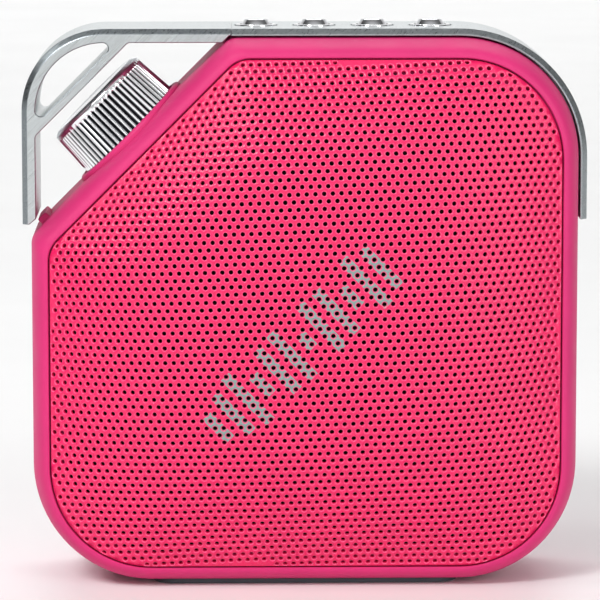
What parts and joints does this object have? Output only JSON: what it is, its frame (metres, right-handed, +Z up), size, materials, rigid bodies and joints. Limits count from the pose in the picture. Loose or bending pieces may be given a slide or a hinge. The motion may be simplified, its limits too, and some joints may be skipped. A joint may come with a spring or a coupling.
{
  "type": "shower speaker",
  "caption": "Square splash-proof speaker with one cut corner, domed perforated grille, metal band that forms a hanging handle, ribbed volume knob and top buttons.",
  "frame": {"origin": "on the surface that the speaker stands on, under the middle of its bounding box", "axes": "+Z up, the grille faces -Y, +X to the right seen from the front; the handle and knob are at the upper left"},
  "size_m": [0.099, 0.041, 0.0991],
  "materials": {
    "pink_shell": "satin pink moulded plastic with a soft-touch skin",
    "grille_metal": "pink powder-coated perforated sheet",
    "aluminium_frame": "brushed aluminium with bright chamfers",
    "knob_chrome": "polished chrome plate with fine straight ribs",
    "button_chrome": "polished chrome plate",
    "pad_rubber": "dull blue-grey rubber",
    "black_rubber": "matt black silicone rubber",
    "black_plastic": "black engineering plastic",
    "ferrite": "dark grey ferrite",
    "steel": "zinc-plated steel",
    "cloth": "thin water-repellent acoustic cloth",
    "cone_paper": "coated paper",
    "copper": "copper wire winding",
    "board": "green circuit board",
    "battery_wrap": "blue shrink wrap"
  },
  "bodies": {
    "case": {"front_shell": "pink_shell", "rear_shell": "pink_shell", "shell_seal": "black_rubber", "base_pad": "pad_rubber", "grille": "grille_metal", "dust_cloth": "cloth", "top_band": "aluminium_frame", "handle_frame": "aluminium_frame", "knob_collar": "pink_shell", "encoder_body": "black_plastic", "encoder_nut": "steel", "encoder_gasket": "black_rubber", "button_ring_1": "button_chrome", "button_ring_2": "button_chrome", "button_ring_3": "button_chrome", "button_ring_4": "button_chrome", "tact_switch_1": "black_plastic", "tact_switch_2": "black_plastic", "tact_switch_3": "black_plastic", "tact_switch_4": "black_plastic", "button_membrane": "black_rubber", "switch_board": "board", "driver_basket": "steel", "driver_magnet": "ferrite", "driver_top_plate": "steel", "driver_yoke": "steel", "driver_surround": "black_rubber", "driver_spider": "cloth", "driver_screw_1": "steel", "driver_screw_2": "steel", "driver_screw_3": "steel", "driver_screw_4": "steel", "radiator_surround": "black_rubber", "radiator_ring": "black_plastic", "main_board": "board", "battery_pack": "battery_wrap", "socket_tray": "black_plastic", "usb_socket": "steel", "aux_socket": "black_plastic", "case_screw_1": "steel", "case_screw_2": "steel", "case_screw_3": "steel", "case_screw_4": "steel", "case_screw_5": "steel"},
    "knob": {"volume_knob": "knob_chrome", "encoder_shaft": "steel"},
    "button_power": {"button_power": "button_chrome"},
    "button_previous": {"button_previous": "button_chrome"},
    "button_play": {"button_play": "button_chrome"},
    "button_next": {"button_next": "button_chrome"},
    "cone": {"driver_cone": "cone_paper", "dust_cap": "black_plastic", "voice_coil": "copper"},
    "radiator": {"radiator_plate": "aluminium_frame"},
    "flap": {"port_flap": "pad_rubber"}
  },
  "joints": [
    {"name": "knob_turn", "type": "hinge", "parent": "case", "child": "knob", "pos_m": [-0.0335, 0.004, 0.082], "axis": [0.7071, 0, -0.7071], "range_deg": [0, 300]},
    {"name": "power_press", "type": "slide", "parent": "case", "child": "button_power", "axis": [0, 0, -1], "range_m": [0, 0.0005], "stiffness_N_per_m": 2000},
    {"name": "previous_press", "type": "slide", "parent": "case", "child": "button_previous", "axis": [0, 0, -1], "range_m": [0, 0.0005], "stiffness_N_per_m": 2000},
    {"name": "play_press", "type": "slide", "parent": "case", "child": "button_play", "axis": [0, 0, -1], "range_m": [0, 0.0005], "stiffness_N_per_m": 2000},
    {"name": "next_press", "type": "slide", "parent": "case", "child": "button_next", "axis": [0, 0, -1], "range_m": [0, 0.0005], "stiffness_N_per_m": 2000},
    {"name": "cone_travel", "type": "slide", "parent": "case", "child": "cone", "axis": [0, -1, 0], "range_m": [-0.0012, 0.0012], "stiffness_N_per_m": 1500},
    {"name": "radiator_travel", "type": "slide", "parent": "case", "child": "radiator", "axis": [0, 1, 0], "range_m": [-0.0012, 0.0012], "stiffness_N_per_m": 800},
    {"name": "flap_swing", "type": "hinge", "parent": "case", "child": "flap", "pos_m": [-0.0127, 0.0204, 0.0155], "axis": [0, 0, 1], "range_deg": [0, 110]}
  ]
}
